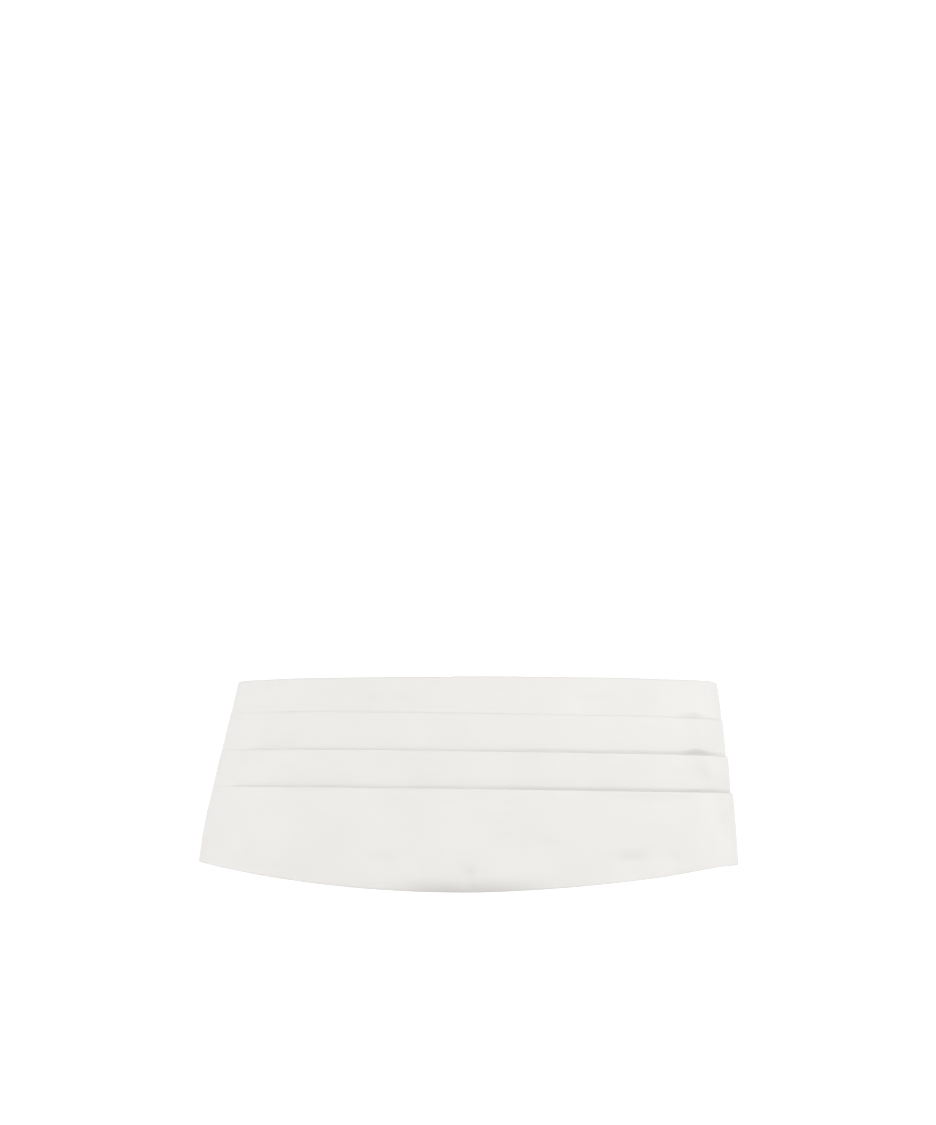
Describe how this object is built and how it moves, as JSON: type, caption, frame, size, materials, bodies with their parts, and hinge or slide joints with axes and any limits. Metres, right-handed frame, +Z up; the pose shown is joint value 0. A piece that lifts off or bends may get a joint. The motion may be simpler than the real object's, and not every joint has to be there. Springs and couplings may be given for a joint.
{
  "type": "pleated cummerbund",
  "caption": "Pleated silk waist sash in its worn, closed form, with upward-opening pleats at the front and straps joined by a clasp at the back.",
  "frame": {"origin": "centre of the waist opening, at half the height of the middle of the front", "axes": "+Z up along the body through the waist opening, -Y towards the pleated front, +X to the viewer's right"},
  "size_m": [0.3123, 0.2137, 0.121],
  "materials": {
    "silk": "pressed ivory silk with a fine rib and a soft sheen",
    "webbing": "ivory woven strap webbing, matt",
    "nickel": "brushed nickel-plated steel"
  },
  "bodies": {
    "root": {"pleated_front": "silk", "left_strap": "webbing", "right_strap": "webbing", "back_clasp": "nickel"}
  },
  "joints": []
}
